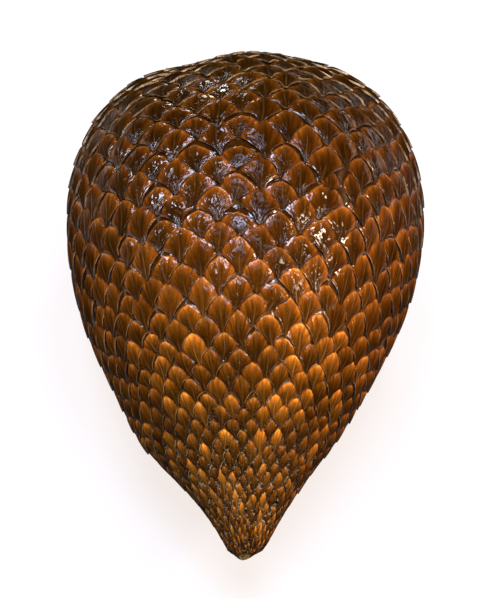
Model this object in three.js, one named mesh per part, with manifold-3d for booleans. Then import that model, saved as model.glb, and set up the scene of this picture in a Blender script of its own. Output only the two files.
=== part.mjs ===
// A whole snake fruit (salak): one closed solid, a fig-shaped body covered with overlapping
// scales whose free tips point to the pointed stalk end. It lies on its side on a small flat
// spot, with the pointed end towards -Y and dipped a little. Millimetres, +Z up, and the origin
// is under the middle of the fruit on the surface that it lies on.
import * as THREE from 'three';
import Module from 'manifold-3d';
import { mergeVertices } from 'three/addons/utils/BufferGeometryUtils.js';

// Body: distances along the fruit's own axis are measured from the pointed end.
const fruitLength = 72;
const bellyFromTip = 50.5;       // the widest ring
const bellyRadius = 23.2;
const tipLength = 1.6;           // the blunt, rounded point
const tipRadius = 1.4;
const neckPull = [13, 6.8];      // curve handles of the tapering flank: axial, radius
const flankPull = 26.5;
const roundEndFullness = 0.62;   // 0.55 would be an ellipse
const roundness = 0.55;          // curve handle of a quarter circle
const lobeShare = 0.02;          // three soft lobes, one on top and a flat side below
const lobes = 3;
const bow = -0.8;                // sideways bend at mid length
// Broad swellings and hollows: fromTip, angle round the axis (0 is +X, 90 is up), height, reach.
const swellings = [
  { fromTip: 46, angle: 0, height: 1, reach: 15 },
  { fromTip: 63, angle: 150, height: -0.5, reach: 10 },
  { fromTip: 66, angle: 112, height: -1.9, reach: 9 },
  { fromTip: 64, angle: 55, height: -1.3, reach: 10 },
  { fromTip: 20, angle: 0, height: -0.4, reach: 10 },
];

// Scales: rows are counted from the round end, each row shifted half a scale from the last.
const scalesPerRow = 27;
const scaleLift = 0.4;           // height of a free tip above the scale below it
const shoulderShare = 0.4;       // share of the lift at the side corners of a scale
const rowStepAtBelly = 0.45;     // row spacing over scale width
const rowStepAtTip = 0.95;
const smallestRowStep = 1.15;
const flowerButton = { reach: 1.5, rise: 0.5 };   // dried remnant of the flower, round end
const stalkScar = { reach: 1.1, dip: 0.3 };       // where the fruit broke from its stalk

// Pose on the table
const tipDip = 14;               // degrees that the axis dips towards the pointed end
const flatDepth = 0.6;           // how deep the small resting flat cuts into the scales

const degrees = Math.PI / 180;
const curveSteps = 600;
const poleMargin = 0.001;        // share of the profile kept clear where a slope is read

function fruitProfile() {
  const path = new THREE.Path();
  path.moveTo(0, 0);
  path.bezierCurveTo(0, roundness * tipRadius,
    tipLength * (1 - roundness), tipRadius, tipLength, tipRadius);
  path.bezierCurveTo(...neckPull, flankPull, bellyRadius, bellyFromTip, bellyRadius);
  const endLength = fruitLength - bellyFromTip;
  path.bezierCurveTo(bellyFromTip + roundEndFullness * endLength, bellyRadius,
    fruitLength, roundEndFullness * bellyRadius, fruitLength, 0);
  path.arcLengthDivisions = curveSteps;
  path.curves.forEach((curve) => { curve.arcLengthDivisions = curveSteps; });
  return path;
}

const profile = fruitProfile();
const profileLength = profile.getLength();

// Point of the body at an arc distance from the pointed end and an angle round the axis,
// raised by lift along the profile's normal. The axis runs along +Y.
function bodyPoint(arc, angle, lift) {
  const share = THREE.MathUtils.clamp(arc / profileLength, 0, 1);
  const { x: axial, y: radius } = profile.getPointAt(share);
  const slope = profile.getTangentAt(THREE.MathUtils.clamp(share, poleMargin, 1 - poleMargin));
  const fullness = Math.sin(Math.PI * axial / fruitLength);
  let swell = lift + radius * lobeShare * fullness * Math.cos(lobes * (angle - Math.PI / 2));
  for (const { fromTip, angle: at, height, reach } of swellings) {
    const across = 2 * radius * Math.sin((angle - at * degrees) / 2);
    swell += height * Math.exp(-((axial - fromTip) ** 2 + across ** 2) / reach ** 2);
  }
  const out = radius + swell * slope.x;
  return new THREE.Vector3(
    out * Math.cos(angle) + bow * fullness,
    axial - swell * slope.y,
    out * Math.sin(angle));
}

// Arc distances of the rings of free tips, from the round end to the pointed end.
function ringArcs() {
  const arcs = [];
  let arc = profileLength - flowerButton.reach;
  while (arc > stalkScar.reach + smallestRowStep / 2) {
    arcs.push(arc);
    const { x: axial, y: radius } = profile.getPointAt(arc / profileLength);
    const width = 2 * Math.PI * radius / scalesPerRow;
    const towardsTip = THREE.MathUtils.smoothstep(bellyFromTip - axial, 0, bellyFromTip);
    const ratio = THREE.MathUtils.lerp(rowStepAtBelly, rowStepAtTip, towardsTip);
    arc -= Math.max(smallestRowStep, ratio * width);
  }
  arcs.push(stalkScar.reach);
  return arcs;
}

// One closed skin: every lattice point is the tip of one scale, the side corner of two scales
// of the next row and the top corner of a scale two rows on, each at its own height.
function scalySkin() {
  const arcs = ringArcs();
  const lastRing = arcs.length - 1;
  const positions = [];
  const triangles = [];
  const add = (point) => positions.push(...point.toArray()) / 3 - 1;
  const face = (a, b, c) => {
    if (a !== b && b !== c && a !== c) triangles.push(a, b, c);
  };
  const flowerEnd = add(bodyPoint(profileLength, 0, flowerButton.rise));
  const stalkEnd = add(bodyPoint(0, 0, -stalkScar.dip));

  const rings = arcs.map((arc, ring) => {
    const stepped = ring > 0 && ring < lastRing;
    return Array.from({ length: scalesPerRow }, (_, column) => {
      const angle = (column + (ring % 2) / 2) * 2 * Math.PI / scalesPerRow;
      const low = add(bodyPoint(arc, angle, 0));
      if (!stepped) return { tip: low, side: low, top: low };
      return {
        tip: add(bodyPoint(arc, angle, scaleLift)),
        side: add(bodyPoint(arc, angle, scaleLift * shoulderShare)),
        top: low,
      };
    });
  });
  const at = (ring, column) => rings[ring][(column + scalesPerRow) % scalesPerRow];

  for (let ring = 1; ring <= lastRing + 1; ring += 1) {
    for (let column = 0; column < scalesPerRow; column += 1) {
      const shift = ring % 2;
      const left = at(ring - 1, column + shift);
      const right = at(ring - 1, column + shift - 1);
      if (ring === 1) {
        face(flowerEnd, left.top, right.top);
      } else {
        const above = at(ring - 2, column);
        face(above.top, left.side, right.side);
      }
      if (ring > lastRing) {
        face(stalkEnd, right.side, left.side);
        continue;
      }
      const { tip, side } = at(ring, column);
      face(tip, right.side, left.side);
      face(tip, left.side, left.top);
      face(tip, left.top, side);
      face(tip, right.top, right.side);
      face(tip, side, right.top);
    }
  }
  return { positions, triangles };
}

function solidFrom(wasm, { positions, triangles }) {
  return new wasm.Manifold(new wasm.Mesh({
    numProp: 3,
    vertProperties: new Float32Array(positions),
    triVerts: new Uint32Array(triangles),
  }));
}

function geometryFrom(solid) {
  const mesh = solid.getMesh();
  const geometry = new THREE.BufferGeometry();
  geometry.setAttribute('position', new THREE.BufferAttribute(mesh.vertProperties, 3));
  geometry.setIndex(new THREE.BufferAttribute(mesh.triVerts, 1));
  return geometry;
}

// Skin laid down with its pointed end dipped, lowered so that the flat is at height 0.
function laidDown({ positions, triangles }) {
  const geometry = new THREE.BufferGeometry();
  geometry.setAttribute('position', new THREE.Float32BufferAttribute(positions, 3));
  geometry.rotateX(tipDip * degrees);
  geometry.computeBoundingBox();
  const { min, max } = geometry.boundingBox;
  geometry.translate(-(min.x + max.x) / 2, -(min.y + max.y) / 2, -min.z - flatDepth);
  return { positions: geometry.attributes.position.array, triangles };
}

// Everything under the table's level, as a block for the flat cut.
function belowTable() {
  const block = new THREE.BoxGeometry(fruitLength * 2, fruitLength * 2, bellyRadius);
  block.translate(0, 0, -bellyRadius / 2);
  block.deleteAttribute('normal');
  block.deleteAttribute('uv');
  const merged = mergeVertices(block);
  return { positions: merged.attributes.position.array, triangles: merged.index.array };
}

const wasm = await Module();
wasm.setup();

const rindMaterial = new THREE.MeshStandardMaterial({ color: 0x6b3a12, roughness: 0.38, metalness: 0 });
const fruitSolid = solidFrom(wasm, laidDown(scalySkin())).subtract(solidFrom(wasm, belowTable()));
const snakeFruit = new THREE.Mesh(geometryFrom(fruitSolid), rindMaterial);
snakeFruit.name = 'snake_fruit';

const group = new THREE.Group();
group.add(snakeFruit);

export default group;
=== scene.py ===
from math import radians
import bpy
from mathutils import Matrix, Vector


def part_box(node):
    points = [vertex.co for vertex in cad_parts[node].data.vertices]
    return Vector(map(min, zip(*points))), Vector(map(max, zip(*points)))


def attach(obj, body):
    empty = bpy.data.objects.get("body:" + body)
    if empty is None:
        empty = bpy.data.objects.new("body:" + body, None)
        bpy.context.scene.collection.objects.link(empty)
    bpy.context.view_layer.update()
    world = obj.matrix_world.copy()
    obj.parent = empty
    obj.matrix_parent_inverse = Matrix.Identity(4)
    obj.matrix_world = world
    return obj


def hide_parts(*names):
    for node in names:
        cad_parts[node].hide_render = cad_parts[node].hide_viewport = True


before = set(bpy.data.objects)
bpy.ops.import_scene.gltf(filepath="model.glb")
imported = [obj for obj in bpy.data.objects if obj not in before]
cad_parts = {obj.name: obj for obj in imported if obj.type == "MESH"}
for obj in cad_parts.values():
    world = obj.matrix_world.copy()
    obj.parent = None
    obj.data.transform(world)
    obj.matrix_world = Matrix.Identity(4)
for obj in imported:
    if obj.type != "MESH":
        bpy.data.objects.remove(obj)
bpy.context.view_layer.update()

from types import SimpleNamespace

import bpy
import numpy as np
from mathutils import Vector

# ---------------------------------------------------------------------------
# Skin of the fruit. A salak's rind is one dry, brittle skin, drawn tight over
# three soft lobes into a fig shape. Little of it shows: it is the dark ground
# that the scales grow out of, seen only in the gaps between them.
# ---------------------------------------------------------------------------
MM = 0.001
fruit_length = 72.0                 # mm, as all the fruit's sizes are
belly_from_tip = 50.5
belly_radius = 23.2
tip_length, tip_radius = 1.6, 1.4
neck_pull = (13.0, 6.8)             # curve handles of the tapering flank
flank_pull = 26.5
round_end_fullness = 0.62
roundness = 0.55                    # curve handle of a quarter circle
lobes, lobe_share = 3, 0.02
bow = -0.8                          # sideways bend at mid length
tip_dip = radians(14)
scale_top = 0.4                     # how far the CAD scales' free tips stand out
press_reach = 0.3                   # height over which the resting spot is pressed flat
# distance from the pointed end, angle round the axis, height, reach
swellings = (
    (46, 0, 1.0, 15), (63, 150, -0.5, 10), (66, 112, -1.9, 9), (64, 55, -1.3, 10),
    (20, 0, -0.4, 10),
)


def bezier(start, pull_a, pull_b, end, steps):
    t = np.linspace(0, 1, steps)[:, None]
    points = [np.array(p, float) for p in (start, pull_a, pull_b, end)]
    return ((1 - t) ** 3 * points[0] + 3 * (1 - t) ** 2 * t * points[1]
            + 3 * (1 - t) * t ** 2 * points[2] + t ** 3 * points[3])


def fruit_profile():
    """Arc distance from the pointed end, distance along the axis, and radius."""
    end_length = fruit_length - belly_from_tip
    tip = bezier((0, 0), (0, roundness * tip_radius),
                 (tip_length * (1 - roundness), tip_radius), (tip_length, tip_radius), 80)
    flank = bezier((tip_length, tip_radius), neck_pull, (flank_pull, belly_radius),
                   (belly_from_tip, belly_radius), 400)
    round_end = bezier((belly_from_tip, belly_radius),
                       (belly_from_tip + round_end_fullness * end_length, belly_radius),
                       (fruit_length, round_end_fullness * belly_radius),
                       (fruit_length, 0), 400)
    outline = np.concatenate([tip, flank[1:], round_end[1:]])
    arc = np.concatenate([[0], np.cumsum(np.hypot(*np.diff(outline, axis=0).T))])
    return arc, outline[:, 0], outline[:, 1]


profile_arc, profile_axial, profile_radius = fruit_profile()
profile_length = profile_arc[-1]
slope_axial = np.gradient(profile_axial, profile_arc)
slope_radius = np.gradient(profile_radius, profile_arc)


def radius_at(arc):
    return np.interp(arc, profile_arc, profile_radius)


def lobed_point(arc, angle, lift):
    """Points on the fruit's own axes: x across, y from the pointed end, z up, in mm."""
    axial = np.interp(arc, profile_arc, profile_axial)
    radius = radius_at(arc)
    fullness = np.sin(np.pi * axial / fruit_length)
    swell = lift + radius * lobe_share * fullness * np.cos(lobes * (angle - np.pi / 2))
    for from_tip, at, height, reach in swellings:
        across = 2 * radius * np.sin((angle - radians(at)) / 2)
        swell = swell + height * np.exp(-((axial - from_tip) ** 2 + across ** 2) / reach ** 2)
    out = radius + swell * np.interp(arc, profile_arc, slope_axial)
    return np.stack([out * np.cos(angle) + bow * fullness,
                     axial - swell * np.interp(arc, profile_arc, slope_radius),
                     out * np.sin(angle)], -1)


def dipped(points):
    """Turned about X so that the pointed end dips."""
    x, y, z = np.moveaxis(points, -1, 0)
    return np.stack([x, y * np.cos(tip_dip) - z * np.sin(tip_dip),
                     y * np.sin(tip_dip) + z * np.cos(tip_dip)], -1)


sample = np.meshgrid(np.linspace(0, profile_length, 300), np.linspace(0, 2 * np.pi, 240))
sampled = dipped(lobed_point(sample[0], sample[1], scale_top)).reshape(-1, 3)
cad_low, cad_high = (np.array(c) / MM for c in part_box("snake_fruit"))
shift = (cad_low + cad_high) / 2 - (sampled.min(0) + sampled.max(0)) / 2
shift[2] = cad_high[2] - sampled[:, 2].max()

# small shoulders and dents, given like the swellings
dents = ((67.5, 125, -0.6, 6), (69.7, 68, -0.6, 7), (17.5, 197, 1.1, 6), (18, -17, 0.5, 6),
         (0, 0, -1.2, 2.0))


def on_fruit(arc, angle, lift):
    """Points in the frame, in metres. The underside is pressed softly against the table, so
    that the scales there stay in their order."""
    arc = np.clip(arc, 0, profile_length)
    axial = np.interp(arc, profile_arc, profile_axial)
    for from_tip, at, height, reach in dents:
        across = 2 * radius_at(arc) * np.sin((angle - radians(at)) / 2)
        lift = lift + height * np.exp(-((axial - from_tip) ** 2 + across ** 2) / reach ** 2)
    points = dipped(lobed_point(arc, angle, lift)) + shift
    points[..., 2] = press_reach * np.logaddexp(0, points[..., 2] / press_reach)
    return points * MM


def linear(hex_colour):
    """An sRGB hex colour as linear RGBA."""
    channels = [int(hex_colour[i:i + 2], 16) / 255 for i in (0, 2, 4)]
    return tuple(c / 12.92 if c <= 0.04045 else ((c + 0.055) / 1.055) ** 2.4
                 for c in channels) + (1.0,)


def add_node(material, kind, settings=None, **links):
    """Adds a shader node. settings are its properties; links name its inputs, or number
    them as i0, i1. A node given as a link stands for its first output."""
    tree = material.node_tree
    node = tree.nodes.new("ShaderNode" + kind)
    for name, value in (settings or {}).items():
        setattr(node, name, value)
    for name, value in links.items():
        numbered = name[0] == "i" and name[1:].isdigit()
        key = int(name[1:]) if numbered else name.replace("_", " ")
        if isinstance(value, bpy.types.Node):
            value = value.outputs[0]
        if isinstance(value, bpy.types.NodeSocket):
            tree.links.new(value, node.inputs[key])
        else:
            node.inputs[key].default_value = value
    return node


def pattern_scale(width):
    """The texture scale at which a pattern repeats about every width, in mm."""
    return 1 / (width * MM)


def new_material(name):
    material = bpy.data.materials.new(name)
    material.use_nodes = True
    material.node_tree.nodes.clear()
    return material


def finish_piece(piece, material):
    """Gives a piece its material and ties it to the fruit."""
    piece.data.materials.append(material)
    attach(piece, "root")
    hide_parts("snake_fruit")


def skin_material():
    # Dry palm-fruit skin in the gaps: dull, nearly black brown.
    material = new_material("bare_skin")
    place = add_node(material, "TexCoord")
    grain = add_node(material, "TexNoise", Vector=place.outputs["Object"],
                     Scale=pattern_scale(1.1), Detail=3.0)
    colour = add_node(material, "Mix", {"data_type": "RGBA"}, Factor=grain,
                      i6=linear("1d0f06"), i7=linear("3a2210"))
    shader = add_node(material, "BsdfPrincipled", Base_Color=colour.outputs[2], Roughness=0.6)
    add_node(material, "OutputMaterial", Surface=shader)
    return material


def bare_skin():
    sunk = -0.3                     # so that the roots of the scales cover it
    bpy.ops.object.select_all(action="DESELECT")
    bpy.ops.mesh.primitive_uv_sphere_add(segments=96, ring_count=72, radius=1)
    piece = bpy.context.object
    piece.name = "bare_skin"
    at = np.array([v.co for v in piece.data.vertices])
    polar = np.arccos(np.clip(at[:, 2], -1, 1)) / np.pi
    placed = on_fruit(profile_length * (1 - polar), np.arctan2(at[:, 1], at[:, 0]), sunk)
    piece.data.vertices.foreach_set("co", placed.ravel())
    piece.data.update()
    bpy.ops.object.mode_set(mode="EDIT")
    bpy.ops.mesh.select_all(action="SELECT")
    bpy.ops.mesh.normals_make_consistent(inside=False)
    bpy.ops.object.mode_set(mode="OBJECT")
    bpy.ops.object.shade_smooth()
    return piece


finish_piece(bare_skin(), skin_material())

# ---------------------------------------------------------------------------
# Scales. Each is a thin, hard, waxed outgrowth of the skin, arched at its root
# and drawn out to a blunt free tip that points to the stalk end. They grow in
# rows, each scale between two of the row before, and lie over one another like
# roof tiles. Where the fruit widens or narrows, a row gains or loses a scale.
# ---------------------------------------------------------------------------
random = np.random.RandomState(7)
whole_turn = 2 * np.pi
scales_round_body = 26
scales_round_neck = 24
round_end_arc = 57                  # where the round end starts
crown_arc, crown_scales = 2.4, 6    # the first ring of tips, round the flower remnant
# distance from the pointed end, angle, stretch and reach: where scales are larger
stretches = ((44, 170, 0.3, 11), (62, 95, -0.12, 9))


def scales_wanted(arc):
    """How many scales fit round the fruit at an arc distance from the pointed end."""
    radius = radius_at(arc)
    if arc > round_end_arc:
        scale_width = 1.5 + 0.155 * radius
        return min(scales_round_body, whole_turn * radius / scale_width)
    return np.interp(arc, (24, 36), (scales_round_neck, scales_round_body))


def row_step(arc):
    """Arc distance to the next row: the rows close up where the scales are small."""
    if arc > round_end_arc:
        return np.clip(1.1 + 0.05 * radius_at(arc), 1.2, 2.1)
    return np.interp(arc, (1, 4, 9, 20, 36, 50), (0.6, 0.85, 1.2, 1.55, 2.1, 2.3))


def evened(angles):
    """Angles round the fruit, each moved a little to the middle of its neighbours."""
    before = np.append(angles[-1] - whole_turn, angles[:-1])
    after = np.append(angles[1:], angles[0] + whole_turn)
    return angles + 0.3 * ((before + after) / 2 - angles)


def grow_scales():
    """Tips of all scales from the round end to the pointed end, with the two tips of the
    row before that each lies between: arcs and angles of tip, left and right."""
    last_arc = 1.2
    arc = profile_length - crown_arc
    corners = np.arange(crown_scales) * whole_turn / crown_scales
    corner_arcs = np.full(crown_scales, arc + 1.4)
    grown = []
    while arc > last_arc:
        step = row_step(arc)
        right = np.append(corners[1:], corners[0] + whole_turn)
        right_arcs = np.append(corner_arcs[1:], corner_arcs[0])
        half = (right - corners) / 2
        tips = evened(evened((corners + right) / 2))
        # the scales grow unevenly, most of all near both ends, and the rows wave a little
        loose = np.interp(arc, (5, 20, 58, 70), (0.3, 0.16, 0.16, 0.26))
        tips = tips + random.uniform(-loose, loose, len(tips)) * half
        wave = 0.3 * np.sin(2 * tips + arc / 9) + 0.2 * np.sin(5 * tips - arc / 6)
        tip_arcs = arc + step * (wave + random.uniform(-1.25, 1.25, len(tips)) * loose)
        # a tip stays clear of the row before it and within reach of it
        tip_arcs = np.clip(tip_arcs, (corner_arcs + right_arcs) / 2 - 1.45 * step,
                           np.minimum(corner_arcs, right_arcs) - 0.4 * step)
        widest = 1.2 * np.pi / len(tips)
        middle, half = (corners + right) / 2, np.minimum(half, widest)
        grown += list(zip(tip_arcs, tips, corner_arcs, middle - half,
                          right_arcs, middle + half))
        # the next row gains or loses a few scales
        corners, corner_arcs = tips, tip_arcs
        change = int(round(np.clip(scales_wanted(arc - step) - len(tips), -2, 3)))
        change += random.choice((-1, 0, 0, 0, 1))
        for _ in range(abs(change)):
            gaps = np.append(corners[1:], corners[0] + whole_turn) - corners
            gaps = gaps * random.uniform(0.7, 1.3, len(gaps))
            if change > 0:
                k = int(np.argmax(gaps))
                following = (k + 1) % len(corners)
                end = corners[following] + (whole_turn if following == 0 else 0)
                corner_arcs = np.insert(corner_arcs, k + 1,
                                        (corner_arcs[k] + corner_arcs[following]) / 2)
                corners = np.insert(corners, k + 1, (corners[k] + end) / 2)
            else:
                k = int(np.argmin(gaps))
                corners, corner_arcs = np.delete(corners, k), np.delete(corner_arcs, k)
        if change:
            corners = evened(evened(corners))
        arc -= step
    return grown


def crowded(arc, angle):
    """The scales are narrower along the top and the underside than on the flanks."""
    crowding = np.interp(arc, (12, 28, 40, 62, 80), (0.14, 0.06, 0.04, 0.06, 0))
    for from_tip, at, stretch, reach in stretches:
        away = arc - from_tip
        across = 2 * radius_at(arc) * np.sin((angle - radians(at)) / 2)
        arc = arc + stretch * away * np.exp(-(away ** 2 + across ** 2) / reach ** 2)
    return arc, angle - crowding / 2 * np.sin(2 * (angle - np.pi / 2))


# Scale patterns: v is the distance from the free tip, counted in rows, and x is the
# distance across, where the side corners are at 1. A scale shows from v 0 to 2.
arch_column = 0.75                  # inside it the columns follow the covering scales
scale_rows = {"large": (0, 0.16, 0.5, 0.8, 1.02, 1.35, 1.7, 2.0, 2.6),
              "small": (0, 0.4, 1.0, 1.5, 2.0, 2.6)}
scale_columns = {"large": (-1, -arch_column, -0.4, 0, 0.4, arch_column, 1),
                 "small": (-1, -0.5, 0, 0.5, 1)}
# how far the covering scales reach in at their tips, and how that grows further up, in
# proportion to the distance and to its cube
cover_start, cover_slope, cover_sweep = 0.12, 0.3, 0.58
full_width = 4.6                    # a scale this wide has its full height
scale_thickness = 0.24
scale_seat = 0.22                   # how deep the scales' roots sit in the skin's surface
flaky_arc = 58                      # past it the free tips stand off more and more
map_rows = 2.5                      # rows from the bottom to the top of a scale's map


def half_width(v):
    """Half width of a scale: a narrow blunt tip that flares to the side corners."""
    free = np.clip(v, 0, 1)
    root = np.clip((v - 1.8) / 0.6, 0, 1)
    return 0.12 + 0.3 * free + 0.62 * free ** 3 - 0.3 * root ** 2


def cover(v):
    """How far the two scales of the row above reach in over this one from the sides."""
    over = np.clip(v - 1, 0, 1.4)
    return cover_start + cover_slope * over + cover_sweep * over ** 3


def scale_pattern(size):
    """One scale, modelled flat: x across, y away from the tip, z 0 on the face and -1
    under it. The free edges have a wall, and one face closes it underneath."""
    columns, lengths = scale_columns[size], scale_rows[size]
    bpy.ops.object.select_all(action="DESELECT")
    bpy.ops.mesh.primitive_grid_add(x_subdivisions=len(columns) - 1,
                                    y_subdivisions=len(lengths) - 1, size=2)
    scale = bpy.context.object
    for vertex in scale.data.vertices:
        x, y, _ = vertex.co
        vertex.co.x = columns[round((x + 1) / 2 * (len(columns) - 1))]
        vertex.co.y = lengths[round((y + 1) / 2 * (len(lengths) - 1))]
    bpy.ops.object.mode_set(mode="EDIT")
    bpy.ops.mesh.select_mode(type="EDGE")
    bpy.ops.mesh.select_all(action="DESELECT")
    bpy.ops.object.mode_set(mode="OBJECT")
    for edge in scale.data.edges:
        ends = [scale.data.vertices[i].co for i in edge.vertices]
        on_side = all(abs(abs(end.x) - 1) < 0.01 and end.y < 1.6 for end in ends)
        on_tip = all(end.y < 0.01 for end in ends)
        edge.select = on_side or on_tip
    bpy.ops.object.mode_set(mode="EDIT")
    bpy.ops.mesh.extrude_region_move(TRANSFORM_OT_translate={"value": (0, 0, -1)})
    bpy.ops.mesh.select_all(action="DESELECT")
    bpy.ops.mesh.select_non_manifold()
    bpy.ops.mesh.edge_face_add()
    bpy.ops.mesh.select_all(action="SELECT")
    bpy.ops.mesh.normals_make_consistent(inside=False)
    bpy.ops.object.mode_set(mode="OBJECT")
    return scale


def across_scale(u, v, blunt):
    """Distance across for a pattern column: the inner columns follow the arch that the
    covering scales leave open, the outer ones the scale's own edge."""
    edge = half_width(v) + blunt * np.clip(1 - v, 0, 1)
    arch = np.minimum(0.8 * edge, np.maximum(1 - cover(v), 0.08))
    inner = np.minimum(np.abs(u) / arch_column, 1)
    inner = inner * np.where(v > 1.0, arch, arch_column * edge)
    outer = np.clip((np.abs(u) - arch_column) / (1 - arch_column), 0, 1)
    return np.sign(u) * (inner + outer * (edge - inner))


def face_height(x, v):
    """Height of a scale's face: it rolls out from under the scales above, is hollow on
    both sides of a ridge that runs out to the tip."""
    climb = np.interp(v, (0, 0.3, 0.9, 1.4, 2.0, 2.6), (0.53, 0.54, 0.5, 0.46, 0.4, 0.34))
    shown = 1 - np.abs(x) - cover(v)
    roll = np.where(shown > 0, 0.24 * (1 - np.exp(-shown / 0.2)),
                    0.12 * (np.exp(shown / 0.1) - 1))
    return climb - 0.2 + roll - 0.06 * x ** 2 + 0.03 * np.exp(-(x / 0.12) ** 2)


def placed_scale(points, scale, habit):
    """The pattern's points bent on to the fruit: arcs, angles, lifts, and x and v."""
    tip_arc, tip, left_arc, left, right_arc, right = scale
    u, v, under = points[:, 0], points[:, 1], points[:, 2]
    lean, curl, roll, blunt = habit
    half = (right - left) / 2
    width = 2 * half * radius_at((left_arc + right_arc) / 2)
    grown = np.clip(width / full_width, 0.3, 1.1) ** 0.8
    x = across_scale(u, v, blunt)
    free = np.clip(1 - v, 0, 1)
    length = (left_arc + right_arc) / 2 - tip_arc + (right_arc - left_arc) / 2 * x
    arc = tip_arc + length * (v + 0.14 * u ** 2 * free ** 2)
    drift = np.clip(v, 0, 1) * ((left + right) / 2 - tip)
    angle = tip + drift + half * (x * (1 + 0.05 * under) + lean * free ** 2)
    lift = face_height(x, v) + curl * np.clip(1.3 - v, 0, 1.3) ** 2 + roll * x
    outer = np.clip((np.abs(u) - arch_column) / (1 - arch_column), 0, 1)
    rounded = outer * np.clip(1.5 - v, 0, 1)
    lift = lift - 0.22 * rounded * half_width(v)
    lift = grown * (lift + scale_thickness * under) - scale_seat
    # the small scales near the point stand up a little
    lift = lift + np.interp(arc, (0.5, 1.6, 3.2, 8, 18), (-0.5, 0.1, 0.75, 0.5, 0))
    return arc, angle, lift, x, v


def grown_scales(name, scales, size):
    """Scales in one mesh, with a map of each scale. The growth attribute holds the scale's
    own random number, the share of the way from the pointed end to the round end, and
    how near a point is to the scale's side."""
    pattern = scale_pattern(size)
    points = np.array([v.co for v in pattern.data.vertices])
    polygons = [tuple(p.vertices) for p in pattern.data.polygons]
    is_wall = [min(points[i, 2] for i in p) < -0.5 for p in polygons]
    bpy.data.objects.remove(pattern)
    verts, faces, maps, marks = [], [], [], []
    for number, scale in enumerate(scales):
        flaky = np.clip((scale[0] - flaky_arc) / 12, 0, 1)
        habit = (random.uniform(-0.2, 0.2), random.uniform(-0.05, 0.03 + 0.07 * flaky),
                 random.uniform(-0.06, 0.06) * (1 + 1.8 * flaky), random.uniform(-0.03, 0.07))
        arc, angle, lift, x, v = placed_scale(points, scale, habit)
        verts.append(on_fruit(*crowded(arc, angle), lift))
        faces += [tuple(i + number * len(points) for i in p) for p in polygons]
        maps.append(np.stack([(x + 1) / 2, v / map_rows], -1))
        marks.append(np.stack([np.full(len(points), random.uniform()),
                               arc / profile_length, np.abs(points[:, 0])], -1))
    mesh = bpy.data.meshes.new(name)
    mesh.from_pydata(np.concatenate(verts).tolist(), [], faces)
    piece = bpy.data.objects.new(name, mesh)
    bpy.context.scene.collection.objects.link(piece)
    corners = np.zeros(len(mesh.loops), int)
    mesh.loops.foreach_get("vertex_index", corners)
    layer = mesh.uv_layers.new(name="scale_map")
    layer.data.foreach_set("uv", np.concatenate(maps)[corners].ravel())
    mark = mesh.attributes.new("growth", "FLOAT_VECTOR", "POINT")
    mark.data.foreach_set("vector", np.concatenate(marks).ravel())
    mesh.polygons.foreach_set("material_index", np.array(is_wall * len(scales), int))
    mesh.update()
    bpy.ops.object.select_all(action="DESELECT")
    piece.select_set(True)
    bpy.context.view_layer.objects.active = piece
    bpy.ops.object.shade_smooth_by_angle(angle=radians(50))
    return piece


def scale_spot(material):
    """What the scale's material knows of a spot: its place on the fruit and on the scale,
    the fibres that fan out from the scale's tip, and broad blotches."""
    place = add_node(material, "TexCoord")
    fruit_place = add_node(material, "SeparateXYZ", Vector=place.outputs["Object"])
    scale_place = add_node(material, "SeparateXYZ", Vector=place.outputs["UV"])
    growth = add_node(material, "Attribute", {"attribute_name": "growth"})
    marks = add_node(material, "SeparateXYZ", Vector=growth.outputs["Vector"])
    seed = marks.outputs["X"]

    # x and v of the pattern, and the distance in from the covering scales' outlines
    x = add_node(material, "Math", {"operation": "MULTIPLY_ADD"},
                 i0=scale_place.outputs["X"], i1=2.0, i2=-1.0)
    side = add_node(material, "Math", {"operation": "ABSOLUTE"}, i0=x)
    v = add_node(material, "Math", {"operation": "MULTIPLY"},
                 i0=scale_place.outputs["Y"], i1=map_rows)
    over = add_node(material, "Math", {"operation": "SUBTRACT", "use_clamp": True},
                    i0=v, i1=1.0)
    cubed = add_node(material, "Math", {"operation": "POWER"}, i0=over, i1=3.0)
    slant = add_node(material, "Math", {"operation": "MULTIPLY_ADD"},
                     i0=over, i1=cover_slope, i2=cover_start)
    covered = add_node(material, "Math", {"operation": "MULTIPLY_ADD"},
                       i0=cubed, i1=cover_sweep, i2=slant)
    open_side = add_node(material, "Math", {"operation": "SUBTRACT"}, i0=1.0, i1=side)
    shown = add_node(material, "Math", {"operation": "SUBTRACT"}, i0=open_side, i1=covered)

    # the fibres' pattern is drawn in another place for each scale
    from_tip = add_node(material, "Math", {"operation": "ADD"}, i0=v, i1=0.35)
    fan = add_node(material, "Math", {"operation": "DIVIDE"}, i0=x, i1=from_tip)
    drift = add_node(material, "Math", {"operation": "MULTIPLY"}, i0=seed, i1=60.0)
    fibre_place = add_node(material, "CombineXYZ", X=fan, Y=v, Z=drift)
    stretched = add_node(material, "VectorMath", {"operation": "MULTIPLY"},
                         i0=fibre_place, i1=(9.0, 0.8, 1.0))
    fibres = add_node(material, "TexNoise", Vector=stretched, Scale=1.0, Detail=3.0,
                      Roughness=0.6)
    blotches = add_node(material, "TexNoise", Vector=place.outputs["Object"],
                        Scale=pattern_scale(2.4), Detail=3.0)
    # side is counted from the middle line to 1 at the corners, v in rows from the tip,
    # shown inwards from the covering scales, and edge to 1 at the scale's sides
    return SimpleNamespace(
        place=place.outputs["Object"], height=fruit_place.outputs["Z"], side=side, v=v,
        shown=shown, drift=drift, seed=seed, along=marks.outputs["Y"],
        edge=marks.outputs["Z"], fibres=fibres, blotches=blotches)


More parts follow.
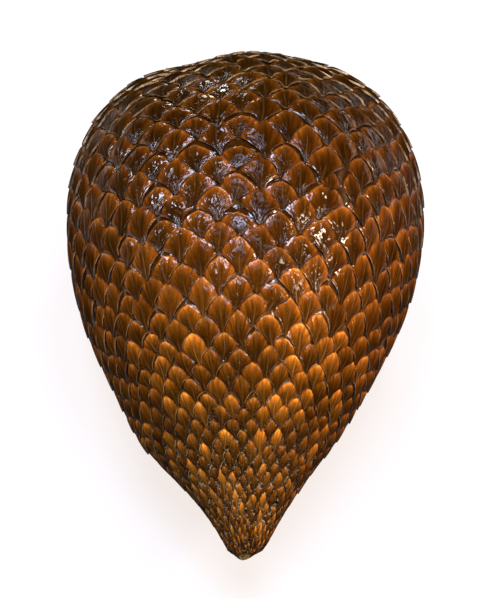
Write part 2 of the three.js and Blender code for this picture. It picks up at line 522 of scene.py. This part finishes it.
def grown_colour(material, spot):
    """The shoulder under the covering scales is bright, the middle and the tip are dark.
    Towards the neck the bright part is the whole top of the scale."""
    # in a map range i1 and i2 are the values that come in, i3 and i4 what they turn to
    lengthwise = add_node(material, "MapRange", Value=spot.v, i1=2.0, i2=0.4, i3=0.0, i4=1.0)
    neck = add_node(material, "MapRange", Value=spot.along, i1=0.48, i2=0.2)
    inward = add_node(material, "MapRange", Value=neck, i3=0.85, i4=0.2)
    downward = add_node(material, "MapRange", Value=neck, i3=0.25, i4=0.95)
    inward = add_node(material, "Math", {"operation": "MULTIPLY"}, i0=inward, i1=spot.shown)
    depth = add_node(material, "Math", {"operation": "MULTIPLY_ADD"},
                     i0=downward, i1=lengthwise, i2=inward)
    wander = add_node(material, "MapRange", Value=spot.fibres, i1=0.3, i2=0.7, i3=-0.14,
                      i4=0.14)
    faded = add_node(material, "MapRange", Value=spot.along, i1=0.6, i2=0.78, i3=0.0, i4=0.18)
    wander = add_node(material, "Math", {"operation": "ADD"}, i0=wander, i1=faded)
    depth = add_node(material, "Math", {"operation": "ADD"}, i0=depth, i1=wander)
    shoulder = add_node(material, "ValToRGB", Fac=depth)
    ramp = shoulder.color_ramp
    # the first stop, darker than the next, is painted shade just inside the covering scales'
    # edges
    ramp.elements[0].color, ramp.elements[0].position = linear("7a4212"), 0.0
    ramp.elements[1].color, ramp.elements[1].position = linear("3c1d03"), 0.9
    for at, colour in ((0.07, "b86820"), (0.15, "a85b1a"), (0.28, "88430e"), (0.45, "6c3608"),
                       (0.66, "502704")):
        ramp.elements.new(at).color = linear(colour)

    # a painted highlight: a fine paler line along the ridge in the middle of most scales
    ridge_highlight = add_node(material, "MapRange", Value=spot.side, i1=0.0, i2=0.07, i3=1.0, i4=0.0)
    fitful = add_node(material, "MapRange", Value=spot.fibres, i1=0.4, i2=0.7, i3=0.0, i4=0.7)
    ridge_highlight = add_node(material, "Math", {"operation": "MULTIPLY"}, i0=ridge_highlight, i1=fitful)
    lined = add_node(material, "Mix", {"data_type": "RGBA"}, Factor=ridge_highlight, i6=shoulder,
                     i7=linear("8a5c2c"))
    return lined.outputs[2]


def brightness(material, spot):
    """Painted shade in the joints, just inside the covering scales' edges; darker sides;
    light and dark fibres; each scale's own tone; darker towards the round end; blotches; and
    painted shade on the top of the fruit."""
    # painted shade: darker just inside the covering scales' edges, over a wider band towards
    # the neck
    joint_shade_width = add_node(material, "MapRange", Value=spot.along, i1=0.32, i2=0.12, i3=0.09,
                           i4=0.4)
    painted_joint_shade = add_node(material, "MapRange", Value=spot.shown, i1=0.0, i2=joint_shade_width, i3=0.3,
                     i4=1.0)
    darkest_side = add_node(material, "MapRange", Value=spot.along, i1=0.32, i2=0.14, i3=1.0,
                            i4=0.25)
    sides = add_node(material, "MapRange", Value=spot.edge, i1=0.4, i2=0.95, i3=1.0,
                     i4=darkest_side)
    streaks = add_node(material, "MapRange", Value=spot.fibres, i1=0.35, i2=0.65, i3=1.16,
                       i4=0.8)
    # the scales of the neck differ more, and a few of them are much brighter
    darkest = add_node(material, "MapRange", Value=spot.along, i1=0.35, i2=0.15, i3=0.92,
                       i4=0.75)
    brightest = add_node(material, "MapRange", Value=spot.along, i1=0.5, i2=0.15, i3=1.38,
                         i4=3.4)
    uneven = add_node(material, "MapRange", Value=spot.along, i1=0.45, i2=0.2, i3=1.0, i4=2.4)
    chance = add_node(material, "Math", {"operation": "POWER"}, i0=spot.seed, i1=uneven)
    shade = add_node(material, "MapRange", Value=chance, i3=darkest, i4=brightest)
    round_end = add_node(material, "MapRange", Value=spot.along, i1=0.35, i2=0.72, i3=1.0,
                         i4=0.35)
    mottle = add_node(material, "MapRange", Value=spot.blotches, i1=0.3, i2=0.7, i3=0.8,
                      i4=1.18)
    # painted shade: darker on the top of the fruit
    painted_top_shade = add_node(material, "MapRange", Value=spot.height, i1=34 * MM, i2=42 * MM,
                         i3=1.0, i4=0.8)
    bright = painted_joint_shade
    for factor in (sides, streaks, shade, round_end, mottle, painted_top_shade):
        bright = add_node(material, "Math", {"operation": "MULTIPLY"}, i0=bright, i1=factor)
    return bright


def scale_colour(material, spot):
    """The grown colour, turned to olive on the round end, with pale rims, worn on the round
    end and a painted reflection on the flanks, and painted glints: pale specks between the
    small scales of the neck."""
    olive = add_node(material, "MapRange", Value=spot.along, i1=0.6, i2=0.8, i3=0.0, i4=0.014)
    golden = add_node(material, "MapRange", Value=spot.along, i1=0.4, i2=0.15, i3=0.5,
                      i4=0.506)
    hue = add_node(material, "Math", {"operation": "ADD"}, i0=olive, i1=golden)
    coloured = add_node(material, "HueSaturation", Color=grown_colour(material, spot),
                        Hue=hue, Value=brightness(material, spot))

    # pale rims along the scales' sides: worn edges on the round end, and on the flanks a
    # painted reflection of the pale surroundings
    rim = add_node(material, "MapRange", Value=spot.edge, i1=0.84, i2=0.97)
    on_end = add_node(material, "MapRange", Value=spot.along, i1=0.6, i2=0.8, i3=0.1, i4=0.9)
    painted_flank_reflection = add_node(material, "MapRange", Value=spot.height, i1=40 * MM, i2=30 * MM,
                        i3=0.1, i4=0.75)
    wear_and_reflection = add_node(material, "Math", {"operation": "MAXIMUM"}, i0=on_end, i1=painted_flank_reflection)
    broken = add_node(material, "MapRange", Value=spot.blotches, i1=0.42, i2=0.56, i3=0.25,
                      i4=1.0)
    for factor in (wear_and_reflection, broken):
        rim = add_node(material, "Math", {"operation": "MULTIPLY"}, i0=rim, i1=factor)
    rimmed = add_node(material, "Mix", {"data_type": "RGBA"}, Factor=rim, i6=coloured,
                      i7=linear("b88a58"))

    # painted glints: pale specks in the gaps between the small scales of the neck
    painted_glints = add_node(material, "TexNoise", Vector=spot.place, Scale=pattern_scale(0.3),
                      Detail=1.0)
    painted_glints = add_node(material, "MapRange", Value=painted_glints, i1=0.56, i2=0.66)
    on_neck = add_node(material, "MapRange", Value=spot.along, i1=0.26, i2=0.1, i3=0.0,
                       i4=0.8)
    in_gap = add_node(material, "MapRange", Value=spot.shown, i1=0.12, i2=0.4, i3=1.0, i4=0.1)
    for factor in (on_neck, in_gap):
        painted_glints = add_node(material, "Math", {"operation": "MULTIPLY"}, i0=painted_glints, i1=factor)
    glint_specked = add_node(material, "Mix", {"data_type": "RGBA"}, Factor=painted_glints,
                     i6=rimmed.outputs[2], i7=linear("b09878"))
    return glint_specked.outputs[2]


def wax_creases(material, spot):
    """The wax film has set in creases, wide ones and others that follow the scale."""
    creases = add_node(material, "TexNoise", Vector=spot.place, Scale=pattern_scale(3.6),
                       Detail=0.0, Distortion=1.0)
    wrinkle_place = add_node(material, "CombineXYZ", X=spot.edge, Y=spot.v, Z=spot.drift)
    stretched = add_node(material, "VectorMath", {"operation": "MULTIPLY"},
                         i0=wrinkle_place, i1=(3.2, 1.5, 1.0))
    wrinkles = add_node(material, "TexNoise", Vector=stretched, Scale=1.0, Detail=1.0,
                        Distortion=0.4)
    creased = add_node(material, "Math", {"operation": "MULTIPLY_ADD"},
                       i0=wrinkles, i1=1.2, i2=creases)
    return add_node(material, "Bump", Strength=0.7, Distance=0.3 * MM, Height=creased)


def wax_left(material, spot):
    """Where the wax is left: in patches on top, on the rolled borders, under the shoulders
    and on some ridges. Less of it is left on the lower side and on the round end."""
    patches = add_node(material, "TexNoise", Vector=spot.place, Scale=pattern_scale(6.6),
                       Detail=2.0)
    patches = add_node(material, "MapRange", Value=patches, i1=0.5, i2=0.6, i3=0.1, i4=1.0)
    on_top = add_node(material, "MapRange", Value=spot.height, i1=33 * MM, i2=41 * MM, i3=0.1,
                      i4=1.0)
    on_ridge = add_node(material, "MapRange", Value=spot.side, i1=0.02, i2=0.07, i3=0.8,
                        i4=0.0)
    on_ridge = add_node(material, "Math", {"operation": "MULTIPLY"}, i0=patches, i1=on_ridge)
    on_border = add_node(material, "MapRange", Value=spot.edge, i1=0.6, i2=0.85, i3=0.0,
                         i4=1.0)
    on_shoulder = add_node(material, "MapRange", Value=spot.shown, i1=0.1, i2=0.35, i3=1.0,
                           i4=0.0)
    left = add_node(material, "Math", {"operation": "MULTIPLY"}, i0=patches, i1=on_top)
    for part in (on_border, on_shoulder, on_ridge):
        left = add_node(material, "Math", {"operation": "MAXIMUM"}, i0=left, i1=part)
    upper_side = add_node(material, "MapRange", Value=spot.height, i1=25 * MM, i2=38 * MM,
                          i3=0.15, i4=1.0)
    worn_off = add_node(material, "MapRange", Value=spot.blotches, i1=0.42, i2=0.58, i3=1.0,
                        i4=0.5)
    dull_end = add_node(material, "MapRange", Value=spot.along, i1=0.6, i2=0.74, i3=1.0,
                        i4=0.03)
    for factor in (upper_side, worn_off, dull_end):
        left = add_node(material, "Math", {"operation": "MULTIPLY"}, i0=left, i1=factor)
    return left


def scale_material():
    # Hard waxed plant skin. The arched shoulder, sheltered under its neighbours, is
    #     bright orange brown; the middle and the weathered tip are dark brown. The skin is
    #     dull, roughened by its fibres and a fine grain. Its shine is the coat of wax and the
    #     highlights, glints and reflection painted into its colour, which also holds painted
    #     shade.
    material = new_material("waxed_scale")
    spot = scale_spot(material)
    grain = add_node(material, "TexNoise", Vector=spot.place, Scale=pattern_scale(0.4),
                     Detail=2.0)
    relief = add_node(material, "Math", {"operation": "MULTIPLY_ADD"},
                      i0=spot.fibres, i1=1.5, i2=grain)
    bump = add_node(material, "Bump", Strength=0.5, Distance=0.2 * MM, Height=relief)
    rough = add_node(material, "MapRange", Value=spot.blotches, i1=0.35, i2=0.65, i3=0.28,
                     i4=0.42)
    shader = add_node(material, "BsdfPrincipled", Base_Color=scale_colour(material, spot),
                      Roughness=rough, Normal=bump, IOR=1.45, Specular_IOR_Level=0.0,
                      Coat_Weight=wax_left(material, spot), Coat_Roughness=0.05,
                      Coat_IOR=1.55, Coat_Normal=wax_creases(material, spot))
    add_node(material, "OutputMaterial", Surface=shader)
    return material


def edge_material():
    # The thin edge of a scale: dry and dull. Its near black colour is painted shade, the dark
    # line
    #     under each free edge; it is pale where the wax has worn off and the edge is chipped,
    #     most of all on the round end.
    material = new_material("worn_and_shaded_edge")
    place = add_node(material, "TexCoord")
    growth = add_node(material, "Attribute", {"attribute_name": "growth"})
    marks = add_node(material, "SeparateXYZ", Vector=growth.outputs["Vector"])
    wear_and_shade = add_node(material, "MapRange", Value=marks.outputs["Y"], i1=0.5, i2=0.74)
    chips = add_node(material, "TexNoise", Vector=place.outputs["Object"],
                     Scale=pattern_scale(1.25), Detail=2.0)
    chips = add_node(material, "MapRange", Value=chips, i1=0.42, i2=0.6, i3=0.2, i4=1.0)
    pale = add_node(material, "Math", {"operation": "MULTIPLY"}, i0=wear_and_shade, i1=chips)
    # near black: painted shade under the free edges; pale: worn, chipped edges
    colour = add_node(material, "Mix", {"data_type": "RGBA"}, Factor=pale,
                      i6=linear("1c0e05"), i7=linear("d0a878"))
    shader = add_node(material, "BsdfPrincipled", Base_Color=colour.outputs[2],
                      Roughness=0.6)
    add_node(material, "OutputMaterial", Surface=shader)
    return material


grown = grow_scales()
waxed, wear_and_shade = scale_material(), edge_material()
neck_arc = 17                       # the scales nearer the point have fewer faces
bodies = [s for s in grown if s[0] > neck_arc]
necks = [s for s in grown if s[0] <= neck_arc]
half_way = len(bodies) // 2
for name, scales, size in (("upper_scales", bodies[:half_way], "large"),
                           ("lower_scales", bodies[half_way:], "large"),
                           ("neck_scales", necks, "small")):
    piece = grown_scales(name, scales, size)
    finish_piece(piece, waxed)
    piece.data.materials.append(wear_and_shade)

# ---------------------------------------------------------------------------
# Stalk scar and flower remnant. At the point the fruit has broken off its stalk:
# a small corky knob with the torn ends of the strands that fed the fruit. In the
# middle of the round end is a dried button, all that is left of the flower.
# ---------------------------------------------------------------------------
def cork_material():
    # Torn plant cork and fibre: dark brown with olive yellow strand ends.
    material = new_material("torn_cork")
    place = add_node(material, "TexCoord")
    grain = add_node(material, "TexVoronoi", Vector=place.outputs["Object"],
                     Scale=pattern_scale(0.31))
    colour = add_node(material, "ValToRGB", Fac=grain)
    ramp = colour.color_ramp
    ramp.elements[0].color, ramp.elements[0].position = linear("d0a850"), 0.1
    ramp.elements[1].color, ramp.elements[1].position = linear("2c1a08"), 0.75
    ramp.elements.new(0.4).color = linear("94702c")
    bump = add_node(material, "Bump", Strength=0.8, Distance=0.3 * MM, Height=grain)
    shader = add_node(material, "BsdfPrincipled", Base_Color=colour, Roughness=0.6,
                      Normal=bump)
    add_node(material, "OutputMaterial", Surface=shader)
    return material


def end_knob(name, end_arc, reach, rise):
    """A lumpy knob over one end of the fruit, with its rim sunk between the scales."""
    bpy.ops.object.select_all(action="DESELECT")
    bpy.ops.mesh.primitive_uv_sphere_add(segments=40, ring_count=24, radius=1)
    knob = bpy.context.object
    knob.name = name
    at = np.array([v.co for v in knob.data.vertices])
    polar = np.arccos(np.clip(at[:, 2], -1, 1)) / np.pi
    turn = np.arctan2(at[:, 1], at[:, 0])
    rim = 0.7                       # share of the sphere that stands out of the scales
    arc = np.abs(end_arc - reach * np.minimum(polar / rim, 1))
    sunk = 1.6 * np.clip((polar - rim) / (1 - rim), 0, 1)
    lumps = random.uniform(-0.12, 0.12, len(at)) * (polar > 0.01)
    placed = on_fruit(arc, turn, rise + lumps - sunk)
    knob.data.vertices.foreach_set("co", placed.ravel())
    knob.data.update()
    bpy.ops.object.mode_set(mode="EDIT")
    bpy.ops.mesh.select_all(action="SELECT")
    bpy.ops.mesh.normals_make_consistent(inside=False)
    bpy.ops.object.mode_set(mode="OBJECT")
    return knob


cork = cork_material()
finish_piece(end_knob("stalk_scar", 0, 2.3, 0.0), cork)
finish_piece(end_knob("flower_remnant", profile_length, 1.8, 0.5), cork)

# ---------------------------------------------------------------------------
# Set: a white table, a window of four panes above, four soft boxes round the fruit
# and the camera, in metres. None of it is the fruit.
# ---------------------------------------------------------------------------
def table():
    # Matte white card. Where it is seen, itself or in the wax, a glow lifts it to white.
    # The light that it throws on the fruit is that of a darker card. Colours are linear.
    bpy.ops.object.select_all(action="DESELECT")
    bpy.ops.mesh.primitive_plane_add(size=6)
    floor = bpy.context.object
    floor.name = "table"
    material = new_material("white_table")
    rays = add_node(material, "LightPath")
    matte = add_node(material, "BsdfDiffuse", Color=(0.13, 0.155, 0.17, 1))
    glow = add_node(material, "Emission", Color=(1, 0.9, 0.85, 1), Strength=0.85)
    seen = add_node(material, "AddShader", i0=matte, i1=glow)
    looked_at = rays.outputs["Is Camera Ray"]
    for ray in ("Is Glossy Ray", "Is Transmission Ray"):
        looked_at = add_node(material, "Math", {"operation": "MAXIMUM"}, i0=looked_at,
                             i1=rays.outputs[ray])
    surface = add_node(material, "MixShader", i0=looked_at, i1=matte, i2=seen)
    add_node(material, "OutputMaterial", Surface=surface)
    floor.data.materials.append(material)


def soft_box(name, toward, size, power, colour="ffffff"):
    """A square lamp that lies in a direction from the fruit and faces it."""
    lamp = bpy.data.lights.new(name, "AREA")
    lamp.size = size
    lamp.energy = power
    lamp.color = linear(colour)[:3]
    holder = bpy.data.objects.new(name, lamp)
    bpy.context.scene.collection.objects.link(holder)
    direction = Vector(toward).normalized()
    holder.location = fruit_centre + direction * lamp_distance
    holder.rotation_euler = direction.to_track_quat("Z", "Y").to_euler()


fruit_centre = (Vector(cad_low * MM) + Vector(cad_high * MM)) / 2
lamp_distance = 0.9
table()
for side_step in (-0.14, 0.2):
    for far_step in (-0.16, 0.16):
        soft_box("window_pane", (side_step, far_step, 1), 0.2, 3.5, "cfe0ff")
soft_box("left_box", (-0.8, 0.2, 0.6), 0.15, 2.6, "d8e6ff")
soft_box("right_box", (1, -0.2, 0.8), 0.18, 4.8, "ffe9d0")
soft_box("front_box", (0.2, -1, 0.75), 0.14, 2.2)
soft_box("back_box", (-0.2, 1, 0.4), 0.2, 4.0)

world = bpy.data.worlds.new("room")
bpy.context.scene.world = world
world.use_nodes = True
background = world.node_tree.nodes["Background"]
background.inputs["Color"].default_value = linear("ffffff")
background.inputs["Strength"].default_value = 0.02

camera_distance = 0.32
elevation = radians(51)
aim_below, aim_left = 1.94 * MM, 0.25 * MM      # of the middle of the fruit
lens = bpy.data.cameras.new("camera")
lens.sensor_width = 36
lens.lens = 146.9
camera = bpy.data.objects.new("camera", lens)
bpy.context.scene.collection.objects.link(camera)
back = Vector((0, -np.cos(elevation), np.sin(elevation)))
up = Vector((0, np.sin(elevation), np.cos(elevation)))
aim = fruit_centre - up * aim_below - Vector((aim_left, 0, 0))
camera.location = aim + back * camera_distance
camera.rotation_euler = (np.pi / 2 - elevation, 0, 0)
bpy.context.scene.camera = camera
bpy.context.scene.view_settings.view_transform = "Standard"
